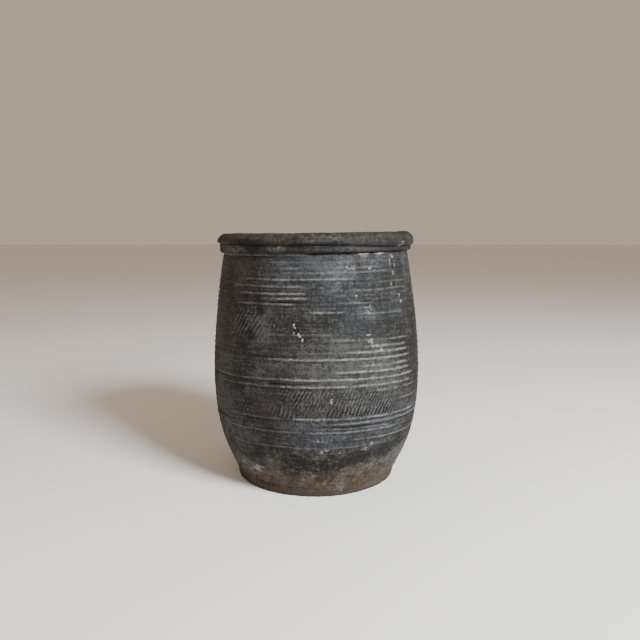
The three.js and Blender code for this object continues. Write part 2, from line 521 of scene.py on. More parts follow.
def worn_group():
    """Breaks a smooth mask up. Rubbed is patchy and soft, flaked is ragged and crisp."""
    w = Paint("Worn mask", {"Float": ["Mask", "Flake Size"]}, {"Float": ["Rubbed", "Flaked"]})
    streaky = w.cloudy(1.0, 4.0, 31.0, 1.0, (0.10, 0.10, 0.42), 0.65)
    gritty = w.cloudy(0.30, 3.0, 32.0, 1.5, None, 0.66)
    patchy = w.fade(w.total(streaky, gritty), -0.18, 0.18)
    patchy = w.total(w.product(patchy, 0.85), 0.15)
    w.feed(w.result["Rubbed"], w.product(w.given["Mask"], patchy))
    size = w.given["Flake Size"]
    at = w.vector("MULTIPLY", w.place, (0.8, 0.8, 1.9))
    rough = w.noise(at, w.ratio(1.0, size), 4.0, 33.0, 0.68)
    level = w.less(0.79, w.product(w.given["Mask"], 0.38))
    flaked = w.fade(rough, level, w.total(level, 0.07))
    w.feed(w.result["Flaked"], w.product(flaked, w.fade(w.given["Mask"], 0.0, 0.15)))
    return w.tree


mottling, earth, grain, worn = mottle_group(), earth_group(), grain_group(), worn_group()


# Stains and painted light, from the lowest layer up: attribute, edge, flake size in millimetres,
# colour, how much of the clay it hides. The colour of a rub is the clay's own. Besides real
# marks, the bluish, pale and white layers paint sheen and highlights where the window light
# falls, the dark layer paints shade under the bead, in the crease, at the foot and down the
# right edge, and the brown layer paints warm shade on the left.
SOFT, CRISP = "Rubbed", "Flaked"
STAINS_AND_PAINTED_LIGHT = [
    ("rust_and_warm_shade", SOFT, 5.0, (0.060, 0.040, 0.027), 0.8),
    ("bloom", SOFT, 5.0, (0.040, 0.047, 0.057), 0.9),
    ("bloom", CRISP, 3.2, (0.120, 0.134, 0.155), 0.45),
    ("pale", SOFT, 5.0, (0.080, 0.081, 0.079), 0.85),
    ("soot_and_shade", SOFT, 6.0, (0.0075, 0.0075, 0.0068), 0.93),
    ("rub", SOFT, 4.0, None, 0.85),
    ("chalk_and_highlight", CRISP, 1.8, (0.27, 0.26, 0.245), 0.9),
]


DULLEST, SHINE = 0.72, 0.12  # roughness of the darkest clay, and how much less of the palest
GLOSS = 0.16
GRAIN_DEPTH, GRAIN_STRENGTH = 0.0007, 0.9  # the depth in metres


def fired_clay(name, dark, light, rubbed, earthy=True):
    """A finish of fired clay, mottled grey, pale on rubbed ridges and brown at the foot, with
    bloom, chalk, soot and rust where the piece's own marks put them; the same layers also carry
    painted sheen, highlights and shade."""
    material = bpy.data.materials.new(name)
    material.use_nodes = True
    w = Paint(name, None, None, material.node_tree)
    shader = w.tree.nodes["Principled BSDF"]
    body = w.group(mottling, Dark=(*dark, 1), Light=(*light, 1), Streaks=1.0)
    colour = body["Color"]
    if earthy:
        colour = w.group(earth, Under=colour)["Color"]
    for attribute, edge, flake, layer_colour, strength in STAINS_AND_PAINTED_LIGHT:
        mask = w.group(worn, Mask=w.mark(attribute), Flake_Size=flake)[edge]
        colour = w.laid_over(colour, mask, (*(layer_colour or rubbed), 1.0), strength)
    w.feed(shader.inputs["Base Color"], colour)
    w.feed(shader.inputs["Roughness"], w.total(w.product(body["Shade"], -SHINE), DULLEST))
    shader.inputs["Specular IOR Level"].default_value = GLOSS
    height = w.group(grain, Grit=1.0, Scratches=1.0)["Height"]
    relief = w.add("ShaderNodeBump", {"Height": height})
    relief.inputs["Distance"].default_value = GRAIN_DEPTH
    relief.inputs["Strength"].default_value = GRAIN_STRENGTH
    w.feed(shader.inputs["Normal"], relief.outputs["Normal"])
    return material


MARK_MARGIN = 14.0  # how far past its own height a mark may wander, in millimetres


def near(low, high, *span):
    """Whether a mark that spans these heights reaches the wall between low and high."""
    return min(span) < high + MARK_MARGIN and max(span) > low - MARK_MARGIN


def laid_flat(angle, height):
    """A point on the wall, laid out flat as arc length and height."""
    return (angle * ARC_PER_DEGREE, height, 0)


def patch_group():
    """A ragged patch of colour round one point."""
    sizes = ["Half Width", "Half Height", "Ragged"]
    w = Wires("Patch", {"Vector": ["Flat Place", "Centre"], "Float": sizes}, {"Float": ["Mask"]})
    away = w.vector("SUBTRACT", w.given["Flat Place"], w.given["Centre"])
    away = w.vector("DIVIDE", away, w.joined(w.given["Half Width"], w.given["Half Height"], 1.0))
    away = w.vector("LENGTH", away, (0, 0, 0), "Value")
    away = w.total(away, w.given["Ragged"])
    w.feed(w.result["Mask"], w.fade(away, 1.5, 0.2))
    return w.tree


patch = patch_group()


def patches_tree(name, patches, low, high):
    """Stores one mask for each kind of patch, from the patches between low and high."""
    w = Wires(name, {"Geometry": ["Clay"]}, {"Geometry": ["Clay"]})
    angle, height, _ = polar(w)
    outside = w.most(w.known("side"), 0.0)
    flat = w.joined(w.product(angle, ARC_PER_DEGREE), height)
    ragged = w.cloudy(0.10, 4.0, 61.0, 2.6, None, 0.6)
    clay = w.given["Clay"]
    for kind in ("bloom", "pale", "chalk_and_highlight", "soot_and_shade", "rust_and_warm_shade"):
        masks = [0.0]
        for at_angle, at_height, half_width, half_height, strength in patches.get(kind, []):
            if not near(low, high, at_height - half_height, at_height + half_height):
                continue
            spot = w.group(
                patch,
                Flat_Place=flat,
                Centre=laid_flat(at_angle, at_height),
                Half_Width=half_width,
                Half_Height=half_height,
                Ragged=ragged,
            )
            masks.append(w.product(spot["Mask"], strength))
        clay = w.kept(clay, kind, w.product(w.most(*masks), outside))
    w.feed(w.result["Clay"], clay)
    return w.tree


DARK_CLAY = (0.0095, 0.009, 0.0085)
LIGHT_CLAY = (0.048, 0.0485, 0.048)
RUBBED_CLAY = (0.185, 0.184, 0.178)
foot_clay = fired_clay("smoked_foot", DARK_CLAY, LIGHT_CLAY, RUBBED_CLAY)

SLAB_EDGE_ROUND = 2.0
SLAB_SETBACK = 1.6  # how far the slab's upright edge stands in from the wall on top of it
slab_radius = outer_radius(slab_top) - SLAB_SETBACK
slab_edge = (slab_radius - SLAB_EDGE_ROUND, SLAB_EDGE_ROUND)
slab_rim = (outer_radius(slab_top), slab_top)
floor_radius = inner_radius(slab_top)
slab_outline = line((0.0, 0.0), (slab_edge[0], 0.0), 4.0, JOIN)
slab_outline += arc(slab_edge, SLAB_EDGE_ROUND, SLAB_EDGE_ROUND, -90, 0, 5, OUTSIDE)
slab_outline += line((slab_radius, SLAB_EDGE_ROUND), slab_rim, 1.0, OUTSIDE)[1:]
slab_outline.append((*slab_rim, OUTSIDE))
slab_outline += line(slab_rim, (floor_radius, slab_top), 3.0, JOIN)[1:]
slab_outline += line((floor_radius, slab_top), (0.0, slab_top), 3.0, INSIDE)
slab_outline.append((0.0, slab_top, INSIDE))

# Stains and painted light, by kind: angle, height, half width, half height, strength of each
# patch.
SLAB_PATCHES = {
    "pale": [(16.3, 15, 8, 7.5, 2.2), (44, 9, 30, 4, 0.5), (-50, 10, 24, 4, 0.4)],
    # The dark band round the bottom edge is painted contact shadow.
    "soot_and_shade": [(0, -0.5, 1000, 2.4, 1.2), (-14, 10, 20, 3, 0.4)],
    "rust_and_warm_shade": [(-20, 5, 60, 4, 0.7), (30, 4, 50, 3, 0.6), (170, 6, 120, 4, 0.6)],
}
slab_patches = patches_tree("Stains and painted light on the base", SLAB_PATCHES, 0.0, slab_top)
make_piece(
    "beaten_base",
    "base_slab",
    slab_outline,
    0,
    720,
    [(handling, {"lumps": 0.3, "turning": 0.3, "finger_lines": 0.6}), (slab_patches, {})],
    foot_clay,
)

# ---- Courses of the wall -----------------------------------------------------------------
# Five rings of coiled clay, each beaten thin with a grooved paddle and luted to the one below
# over a sloping lap. A tool held against the turning jar cut the rings that hide the joins.

JOIN_DROP = 8.0

# Height, first and last angle where the ring stayed crisp, and how strongly it stands out.
TOOLED_RINGS = [
    (317.4, -80, -4, 0.9),
    (308, -24, 46, 0.25),
    (301, -24, -8, 0.5),
    (301, 12, 38, 0.45),
    (295, -16, 42, 0.5),
    (287, -42, -22, 0.45),
    (287, -24, 19, 0.8),
    (281.5, 12, 60, 0.3),
    (278.5, -49, -31, 0.45),
    (278.5, -29, -7, 0.95),
    (273, 8, 60, 0.45),
    (269.5, -44, -30, 0.5),
    (269.5, -32, -6, 1.15),
    (267, 12, 62, 0.35),
    (263.5, -29, -5, 1.1),
    (258, 12, 30, 0.5),
    (256.5, -46, -32, 0.35),
    (256.5, -29, -12, 0.9),
    (252, 24, 30, 0.6),
    (247, -2, 15, 0.85),
    (244.5, 24, 53, 0.45),
    (220, -24, 12, 0.35),
    (212.5, 8, 58, 0.6),
    (204.5, 26, 54, 1.0),
    (197.5, 17, 55, 1.3),
    (189, -23, 57, 1.1),
    (189.3, 24, 54, 0.4),
    (180.5, 25, 54, 1.3),
    (173, 9, 56, 1.2),
    (164.2, -78, -16, 0.5),
    (164.2, -17, 60, 1.25),
    (155.2, -62, -16, 0.4),
    (155.2, -17, 57, 1.05),
    (148, 30, 62, 0.6),
    (133, 48, 70, 0.7),
    (114, -48, -8, 0.4),
    (114, -11, 64, 1.0),
    (107.3, 8, 74, 0.75),
    (100.5, -2, 40, 0.5),
    (96, -68, -28, 0.55),
    (96, -31, -2, 0.35),
    (96, -4, 46, 0.7),
    (84.5, 20, 80, 0.65),
    (75, -50, 50, 0.3),
]

# Each row of paddle marks: low, high, first and last angle where it shows, groove spacing,
# slant from upright, depth.
BEATEN_ROWS = [
    (214, 250, -66, -29, 5.8, 33, 0.30),
    (220, 243, -24, -13, 5.8, 22, 0.25),
    (138, 153, -16, 48, 4.3, 32, 0.45),
    (126, 142, -10, 46, 4.4, 28, 0.55),
    (116, 129, 5, 44, 5.0, 20, 0.9),
    (113, 131, -23, -6, 5.8, 24, 0.32),
    (113, 138, -47, -30, 5.2, 26, 0.2),
]

# Scratches and gouges: angle and height of both ends, width, depth.
GOUGES = [
    (-12.0, 237, -9.0, 226, 1.9, 0.9),
    (-9.0, 226, -4.8, 211, 1.7, 0.8),
    (-12.5, 223, -9.4, 228, 1.6, 0.9),
    (-21.6, 227, -20.9, 233, 1.0, 0.3),
    (6.9, 134.5, 8.3, 142, 1.3, 0.4),
    (2.4, 187, 3.4, 181, 1.4, 0.5),
    (-5, 318.6, 20, 318.6, 1.6, 1.2),
    (18, 318.6, 62, 318.6, 1.8, 1.5),
    (120, 200, 128, 176, 1.6, 0.7),
    (-140, 90, -133, 112, 1.5, 0.6),
]


def ring_group():
    """One line cut by a tool held against the turning jar: a ridge between two grooves. It
    is crisp from one angle to another, and comes and goes round the back."""
    numbers = ["Angle", "Height", "Ring Height", "From", "To", "Strength"]
    w = Wires("Tooled ring", {"Vector": ["Heading"], "Float": numbers}, {"Float": ["Rise", "Rub"]})
    given = w.given
    angle = given["Angle"]
    above = w.less(given["Height"], given["Ring Height"])
    patchy = w.noise(given["Heading"], 5.0, 3.0, given["Ring Height"], 0.6)
    broad = w.noise(given["Heading"], 1.6, 1.0, given["Ring Height"])
    start = w.fade(angle, w.less(given["From"], 3.0), w.total(given["From"], 2.0))
    end = w.fade(angle, w.total(given["To"], 3.0), w.less(given["To"], 2.0))
    behind = w.product(w.fade(w.calc("ABSOLUTE", angle), 68.0, 84.0), w.fade(broad, 0.42, 0.56))
    crisp = w.most(w.product(start, end), w.product(behind, 0.9))
    crisp = w.product(crisp, w.total(w.product(w.fade(patchy, 0.30, 0.56), 0.85), 0.15))
    seen = w.total(w.product(crisp, 0.8), 0.2)
    ridge = w.bump(above, 0.0, 1.15)
    under, over = w.bump(above, -2.5, 1.2), w.bump(above, 2.4, 1.1)
    rise = w.total(w.product(ridge, 0.62), w.product(under, -0.58), w.product(over, -0.28))
    w.feed(w.result["Rise"], w.product(rise, seen, given["Strength"]))
    breadth = w.total(w.product(given["Strength"], 0.45), 0.85)
    rub = w.product(w.bump(above, 0.3, breadth), crisp, given["Strength"])
    w.feed(w.result["Rub"], rub)
    return w.tree


BLOWS_ROUND = 32
BLOW_TWIST = 12.0  # how much one blow is turned against the next, in degrees
BLOW_SHIFT = 5.0  # and how much higher or lower it lands
BLOW_RAGGED = 8.0  # how unevenly a row of blows begins and ends


def beaten_group():
    """A row of blows from a paddle carved with parallel grooves. Every blow lands a little
    turned and shifted against the last."""
    numbers = ["Angle", "Height", "Low", "High", "From", "To", "Spacing", "Slant", "Depth"]
    w = Wires("Beaten row", {"Vector": ["Heading"], "Float": numbers}, {"Float": ["Rise", "Rub"]})
    given = w.given
    along = w.product(given["Angle"], ARC_PER_DEGREE)
    blow = w.total(w.product(given["Angle"], BLOWS_ROUND / 360), w.product(given["Low"], 0.37))
    number = w.calc("FLOOR", blow)
    within = w.less(blow, number)
    number = w.joined(number, given["Low"])
    lot = w.add("ShaderNodeTexWhiteNoise", {"Vector": number}, noise_dimensions="3D")
    twist, shift, force = w.split(lot.outputs["Color"])
    slant = w.total(given["Slant"], w.product(w.less(twist, 0.5), BLOW_TWIST))
    slant = w.calc("RADIANS", slant)
    across = w.product(along, w.calc("COSINE", slant))
    across = w.less(across, w.product(given["Height"], w.calc("SINE", slant)))
    phase = w.total(w.ratio(across, given["Spacing"]), shift)
    wave = w.total(w.product(w.calc("SINE", w.product(phase, 2 * math.pi)), 0.5), 0.5)
    drift = w.product(w.less(shift, 0.5), BLOW_SHIFT)
    height = w.total(given["Height"], drift)
    rough = w.noise(given["Heading"], 9.0, 2.0, given["Low"])
    height = w.total(height, w.product(w.less(rough, 0.5), BLOW_RAGGED))
    band = w.product(
        w.fade(height, given["Low"], w.total(given["Low"], 3.0)),
        w.fade(height, given["High"], w.less(given["High"], 3.0)),
    )
    blow_edge = w.product(w.fade(within, 0.0, 0.1), w.fade(within, 1.0, 0.9))
    start = w.fade(given["Angle"], w.less(given["From"], 3.0), given["From"])
    end = w.fade(given["Angle"], w.total(given["To"], 3.0), given["To"])
    broad = w.noise(given["Heading"], 1.8, 1.0, given["High"])
    behind = w.fade(w.calc("ABSOLUTE", given["Angle"]), 66.0, 80.0)
    behind = w.product(behind, w.fade(broad, 0.44, 0.54))
    seen = w.most(w.product(start, end), behind)
    force = w.total(w.product(force, 0.5), 0.6)
    worn = w.fade(w.noise(given["Heading"], 14.0, 2.0, given["High"]), 0.25, 0.5)
    mask = w.product(band, blow_edge, seen, force)
    mask = w.product(mask, w.total(w.product(worn, 0.6), 0.4))
    rise = w.product(w.less(wave, 0.75), mask, given["Depth"])
    w.feed(w.result["Rise"], rise)
    crest = w.product(w.fade(wave, 0.55, 1.0), mask, given["Depth"], worn)
    w.feed(w.result["Rub"], crest)
    return w.tree


def gouge_group():
    """A straight gouge between two points, laid out flat as arc length and height."""
    inputs = {"Vector": ["Flat Place", "Start", "End"], "Float": ["Width"]}
    w = Wires("Gouge", inputs, {"Float": ["Cut"]})
    reach = w.vector("SUBTRACT", w.given["End"], w.given["Start"])
    here = w.vector("SUBTRACT", w.given["Flat Place"], w.given["Start"])
    share = w.ratio(
        w.vector("DOT_PRODUCT", here, reach, "Value"),
        w.vector("DOT_PRODUCT", reach, reach, "Value"),
    )
    share = w.calc("MINIMUM", w.most(share, 0.0), 1.0)
    away = w.vector("DISTANCE", here, w.vector("SCALE", reach, share), "Value")
    w.feed(w.result["Cut"], w.fade(away, w.given["Width"], 0.0))
    return w.tree


BEATEN_RUB = 0.55  # how pale the crests between paddle grooves are rubbed, against the rings
WANDER, SHAKE = 2.0, 1.6  # of the tool in the hand, slow and quick, in millimetres


def tooling_tree(low, high):
    """The marks of the potter's tools on the outside of the wall from low to high."""
    inputs = {"Geometry": ["Clay"], "Float": ["Ring Depth", "Beating Depth"]}
    w = Wires(f"Tool marks {low:.0f} to {high:.0f}", inputs, {"Geometry": ["Clay"]})
    angle, height, place = polar(w)
    outside = w.most(w.known("side"), 0.0)
    x, y, _ = w.split(place)
    heading = w.vector("SCALE", w.joined(x, y), 1 / BELLY_RADIUS)
    wobble = w.total(w.cloudy(0.025, 2.0, 51.0, WANDER), w.cloudy(0.11, 2.0, 52.0, SHAKE))
    wobbled = w.total(height, wobble)

    uneven = w.vector("ADD", heading, w.vector("SCALE", place, 0.004))
    rises, rubs = [0.0], [0.0]
    for ring_height, first, last, strength in TOOLED_RINGS:
        if not near(low, high, ring_height):
            continue
        cut_as = {"Ring_Height": ring_height, "From": first, "To": last, "Strength": strength}
        cut = w.group(ring, Angle=angle, Height=wobbled, Heading=heading, **cut_as)
        rises.append(w.product(cut["Rise"], w.given["Ring Depth"]))
        rubs.append(cut["Rub"])
    for row_low, row_high, first, last, spacing, slant, depth in BEATEN_ROWS:
        if not near(low, high, row_low, row_high):
            continue
        span = {"Low": row_low, "High": row_high, "From": first, "To": last}
        paddle = {"Spacing": spacing, "Slant": slant, "Depth": depth}
        row = w.group(beaten, Angle=angle, Height=height, Heading=uneven, **span, **paddle)
        rises.append(w.product(row["Rise"], w.given["Beating Depth"]))
        rubs.append(w.product(row["Rub"], BEATEN_RUB))
    flat = w.joined(w.product(angle, ARC_PER_DEGREE), height)
    for first, start, last, end, width, depth in GOUGES:
        if not near(low, high, start, end):
            continue
        ends = {"Start": laid_flat(first, start), "End": laid_flat(last, end)}
        cut = w.group(gouge, Flat_Place=flat, Width=width, **ends)
        rises.append(w.product(cut["Cut"], -depth))
    rise = w.product(w.total(*rises), outside)
    clay = w.kept(w.given["Clay"], "rub", w.product(w.most(*rubs), outside))
    clay = w.kept(clay, "relief", w.total(w.known("relief"), rise))
    w.feed(w.result["Clay"], moved_out(w, clay, rise))
    return w.tree


WALL_PATCHES = {
    # The bluish patches on the front and right are partly the clay's own bluish film and partly a
    # painted cool sheen where the window light falls.
    "bloom": [
        (14, 300, 46, 24, 0.78), (-14, 302, 34, 18, 0.6), (36, 298, 30, 20, 0.62),
        (14, 268, 46, 22, 0.5), (22, 240, 30, 22, 0.4), (46, 262, 30, 34, 0.35),
        (0, 94, 52, 20, 0.5), (30, 100, 50, 20, 0.6), (8, 86, 34, 16, 0.7), (40, 74, 24, 8, 0.8),
        (56, 110, 30, 12, 0.4), (-150, 280, 60, 24, 0.6), (110, 250, 50, 30, 0.5),
        (-95, 180, 60, 40, 0.3), (160, 120, 80, 30, 0.5),
    ],
    # The pale patches on the lit right of the belly, from 20 to 50 degrees and 160 to 200 mm, are
    # painted highlight.
    "pale": [
        (47, 286, 2.5, 30, 0.9), (51, 280, 2.0, 34, 0.7), (38, 270, 2.0, 26, 0.5),
        (-48, 92, 38, 26, 0.5), (0, 178, 60, 26, 0.5), (30, 182, 50, 34, 0.6),
        (38, 197, 26, 16, 0.95), (-14, 200, 40, 16, 0.3), (-26, 238, 24, 24, 0.35),
        (-55, 122, 36, 22, 0.55), (-6, 118, 44, 18, 0.4), (0, 22, 60, 14, 0.3),
        (-30, 215, 30, 12, 0.4), (30, 160, 56, 15, 0.55), (14, 136, 60, 16, 0.35),
        (-36, 36, 30, 14, 0.5), (58, 52, 34, 15, 0.9), (24, 42, 26, 8, 0.6),
        (16.3, 15, 8, 7.5, 2.2), (-48, 34, 36, 14, 0.9), (130, 160, 70, 40, 0.5),
        (-140, 210, 60, 40, 0.4), (175, 300, 60, 20, 0.4),
    ],
    # The white flecks over the lit right of the belly, from 175 to 207 mm, are painted highlight.
    "chalk_and_highlight": [
        (28, 317.0, 20, 1.5, 1.0), (40, 317.0, 17, 1.5, 1.0), (34, 314.5, 28, 3.0, 0.6),
        (14, 313, 22, 4.0, 0.6), (40, 304, 24, 6.0, 0.55), (34, 207, 18, 12, 0.55),
        (38, 190, 24, 10, 0.5), (44, 175, 26, 10, 0.45), (-5, 314, 10, 2.0, 0.6),
        (4, 312, 14, 4.0, 0.4), (50, 312, 4, 5, 1.0), (47, 306, 2, 8, 0.78),
        (49, 292, 2.4, 8, 0.9), (46, 279, 2, 5, 0.85), (52.5, 264, 2, 8, 0.95),
        (51, 301, 4, 3, 0.8), (50, 288, 8, 7, 0.5), (19, 300, 14, 5, 0.74), (31, 300, 14, 4, 0.76),
        (-8, 300, 14, 3, 0.6), (3, 277, 6, 2.5, 0.7), (22, 267, 5, 2.5, 0.8),
        (53.5, 256, 5, 5, 0.9), (28.5, 248, 8, 10, 0.7), (28.5, 219, 6, 2.5, 0.9),
        (29, 212, 8, 5, 0.9), (31, 204, 7, 2.5, 0.9), (35, 200, 4, 6, 0.8),
        (48, 180, 20, 22, 0.35), (-10.7, 232.5, 1.8, 4.0, 1.25), (-9.9, 229.0, 2.2, 2.2, 1.1),
        (-8.3, 221.0, 1.7, 3.6, 1.25), (-7.4, 218.0, 1.9, 3.2, 1.2), (-6.4, 214.5, 1.9, 2.8, 1.15),
        (-10.8, 223, 1.6, 2.0, 1.0), (-21.2, 230, 1.8, 5, 0.9), (7.6, 138, 1.9, 5, 1.2),
        (0.6, 214, 4, 2, 0.7), (2.5, 70, 4, 5, 0.8), (6, 72, 5, 2.5, 0.8), (12, 67, 6, 5, 0.8),
        (27.5, 71, 7, 3.5, 0.9), (31, 76, 4, 5, 0.9), (1, 86, 3, 4, 0.8), (-50, 42, 28, 16, 0.65),
        (-40, 33, 20, 7, 0.85), (-58, 56, 22, 14, 0.62), (-36, 38, 15, 4, 0.9),
        (-44, 30, 14, 7, 0.7), (-52, 44, 16, 8, 0.5), (-55, 50, 9, 5, 0.8), (-49, 41, 8, 4, 0.85),
        (-23, 58, 9, 5, 0.6), (-30, 40, 8, 8, 0.5), (4, 40, 10, 5, 0.5), (50, 44, 20, 8, 0.4),
        (100, 210, 8, 5, 0.8), (-120, 150, 8, 5, 0.8), (170, 240, 12, 4, 0.8),
        (140, 60, 14, 8, 0.6), (-165, 90, 10, 7, 0.7),
    ],
    # Of the dark patches, the band under the bead at 318.8 mm is painted shade, and those down the
    # right edge, past 40 degrees, are partly real smudges and partly painted shade.
    "soot_and_shade": [
        (30, 318.8, 100, 1.8, 1.3), (-29.5, 250, 6, 9, 3.0), (-31, 265, 7, 8, 2.6),
        (-35, 219, 8, 7, 3.0), (-54, 262, 16, 16, 0.6), (-50, 287, 10, 8, 0.6),
        (-66, 300, 20, 14, 0.4), (-8, 240, 30, 12, 0.35), (8, 236, 24, 14, 0.35),
        (42, 232, 26, 18, 0.45), (-5, 262, 16, 16, 0.35), (-12, 235, 3, 3.5, 1.2),
        (-11.6, 223.5, 3.5, 2.4, 1.2), (24.5, 302, 6, 15, 1.1), (10, 311, 12, 5, 0.6),
        (-8, 52, 30, 12, 2.4), (8, 50, 28, 12, 2.4), (-15, 42, 16, 9, 1.8), (22, 58, 30, 12, 2.4),
        (40, 64, 30, 11, 2.4), (55, 71, 28, 11, 2.4), (66, 85, 28, 10, 2.2), (82, 74, 30, 14, 2.0),
        (-32, 58, 9, 14, 1.2), (-44, 52, 18, 7, 1.0), (-60, 56, 22, 10, 1.0),
        (16, 78, 10, 10, 0.7), (-24, 92, 10, 36, 1.3), (6, 176, 5, 4, 0.5), (69, 180, 30, 60, 2.8),
        (56, 128, 20, 12, 0.4), (70, 236, 26, 56, 2.0), (42, 226, 34, 14, 0.9),
        (50, 212, 34, 18, 1.5), (48, 276, 40, 26, 1.1), (-26, 128, 18, 20, 0.55),
        (-12, 118, 14, 16, 0.3), (95, 120, 40, 20, 0.5), (-130, 70, 40, 22, 0.7),
        (180, 190, 60, 30, 0.5), (-100, 270, 40, 26, 0.5), (140, 230, 40, 16, 0.5),
    ],
    # The brown patches on the left side are partly the clay's own brown and partly painted warm
    # shade.
    "rust_and_warm_shade": [
        (24.5, 304, 6, 14, 1.0), (-45, 290, 32, 30, 0.75), (-60, 240, 42, 34, 0.9),
        (-26, 130, 18, 20, 0.6), (-24, 100, 14, 24, 0.7), (-22, 48, 10, 18, 0.8),
        (-62, 190, 34, 44, 0.6), (72, 240, 22, 60, 0.9), (70, 180, 26, 50, 1.0),
        (40, 20, 60, 12, 0.7), (-10, 16, 60, 6, 0.6), (-60, 50, 40, 30, 0.5), (14, 34, 14, 8, 0.6),
        (120, 290, 30, 22, 0.6), (-160, 150, 40, 30, 0.4),
    ],
}

smoked_clay = fired_clay("smoked_wall", DARK_CLAY, LIGHT_CLAY, RUBBED_CLAY)
ring, beaten, gouge = ring_group(), beaten_group(), gouge_group()


def levels(start, end, spacing):
    """Evenly spaced heights, both ends included."""
    rows = round(abs(end - start) / spacing)
    return [start + (end - start) * i / rows for i in range(rows + 1)]


def course_outline(low, high, row, inner_row):
    """Closed outline of one course, round its outside, over its top and down its inside."""
    on_slab, under_roll = low < slab_top + 1.0, high > collar_base
    low, high = low + SLIP, high - SLIP
    inner_low = low if on_slab else low - JOIN_DROP
    inner_high = high if under_roll else high - JOIN_DROP
    outline = [(outer_radius(z), z, OUTSIDE) for z in levels(low, high, row)]
    top = line((outer_radius(high), high), (inner_radius(inner_high), inner_high), 3.0, JOIN)
    outline += top[1:]
    inside = levels(inner_high, inner_low, inner_row)
    outline += [(inner_radius(z), z, INSIDE) for z in inside]
    foot = line((inner_radius(inner_low), inner_low), (outer_radius(low), low), 3.0, JOIN)
    return outline + foot[1:]


# Name, CAD node, facets round, spacing of the rows outside and inside, finish and its slot.
COURSES = [
    ("lower_wall", "lower_course", 800, 1.12, 4.0, foot_clay, "foot_clay"),
    ("belly_wall", "belly_course", 1120, 0.95, 4.0, smoked_clay, "smoked_clay"),
    ("middle_wall", "middle_course", 1000, 0.95, 4.0, smoked_clay, "smoked_clay"),
    ("shoulder_wall", "shoulder_course", 960, 0.95, 4.0, smoked_clay, "smoked_clay"),
    ("neck_wall", "neck_course", 960, 0.95, 4.0, smoked_clay, "smoked_clay"),
]
low = slab_top
for name, node, steps_round, row, inner_row, finish, slot in COURSES:
    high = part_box(node)[1].z / MM + SLIP
    outline = course_outline(low, high, row, inner_row)
    surface = [
        (handling, {"lumps": 0.8, "turning": 1.0, "finger_lines": 1.0}),
        (tooling_tree(low, high), {"ring_depth": 1.0, "beating_depth": 1.8}),
        (patches_tree("Stains and painted light on " + name, WALL_PATCHES, low, high), {}),
    ]
    make_piece(name, node, outline, 1, steps_round, surface, finish)
    low = high

# ---- Collar --------------------------------------------------------------------------------
# Two coils of clay wrapped round the mouth, one thin and one fat, rubbed down with a wet hand
# while the jar turned. Handling has polished them, and knocked small chips out of them.

BEAD_REACH = 5.5
ROLL_REACH = 9.0
ROLL_SLOPE_WIDTH = 9.0
ROLL_SLOPE_HEIGHT = 10.5
MOUTH_STEP = 1.5
MOUTH_ROUND = 2.5
WORN_DOWN = 1.0  # what hands and lids have worn off the top of the rim
RIM_FALL = 0.4  # how much lower the flat top of the rim is at the mouth
CREASE_DEPTH = 1.2  # of the shallow crease between the bead and the roll
BEAD_LIFT = 1.9  # how much the bead's foot has shrunk upwards
BEAD_SWELL_WIDTH = 3.6  # the round from the bead's foot up to its widest line
BEAD_SWELL_HEIGHT = 3.2
BEAD_TOP_ROUND = 2.2
BEAD_DROOP = 2.4  # at the sides
SLOPE_OUT, SLOPE_UP = 0.54, 0.36  # how far the roll's slope swells out and up

COLLAR_PATCHES = {
    "bloom": [(-150, 336, 60, 6, 0.5), (100, 324, 40, 5, 0.4)],
    # The pale patches along the roll's upper slope, near 338 mm, are painted highlights.
    "pale": [
        (4, 337, 44, 5, 0.6), (40, 338, 60, 3.5, 0.35), (20, 324, 60, 3, 0.4),
        (-52, 324, 30, 5, 1.1), (-62, 328, 20, 4, 1.0), (-19, 325, 12, 4, 0.8),
        (-30, 340, 50, 4, 0.4),
    ],
    # The white flecks along the roll's upper slope at the right are painted highlights.
    "chalk_and_highlight": [
        (55, 329.5, 4, 2.0, 1.3), (56.5, 332, 2.5, 2.5, 1.2), (-19, 327, 12, 4, 0.66),
        (-21, 334, 8, 3, 0.6), (4, 339, 14, 2, 0.5), (30, 338, 40, 1.5, 0.4),
        (16, 326, 8, 1.8, 0.5), (-60, 324, 14, 3, 0.5), (-46, 325, 10, 2.5, 0.5),
        (130, 330, 6, 2, 0.7),
    ],
    # The dark bands along the crease at 329.2 mm are painted shade as well as dirt.
    "soot_and_shade": [
        (35, 329.2, 120, 1.8, 0.9), (180, 329.2, 300, 1.8, 0.7), (-35, 327, 14, 6, 1.5),
        (-55, 320, 8, 4, 0.8), (-44, 332, 40, 4, 1.0), (-66, 330, 30, 5, 0.7),
    ],
    # The brown patches on the left of the rim are partly the clay's own brown and partly painted
    # warm shade.
    "rust_and_warm_shade": [
        (-19, 327, 14, 6, 0.9), (-20, 336, 20, 7, 0.6), (-8, 343, 50, 4, 0.8),
        (30, 344, 60, 3, 0.6), (-50, 340, 50, 5, 0.6), (-55, 323, 40, 5, 0.5),
        (150, 342, 60, 4, 0.7),
    ],
}

DARK_RIM = (0.0085, 0.0075, 0.0062)
LIGHT_RIM = (0.0265, 0.0255, 0.0238)
RUBBED_RIM = (0.12, 0.115, 0.105)
rim_clay = fired_clay("handled_rim", DARK_RIM, LIGHT_RIM, RUBBED_RIM, earthy=False)
collar_patches = patches_tree("Stains and painted light on the collar", COLLAR_PATCHES, collar_base, jar_top)
COLLAR_SURFACE = [
    (handling, {"lumps": 1.1, "turning": 0.8, "finger_lines": 0.6, "coarse": 0.45}),
    (collar_patches, {}),
]

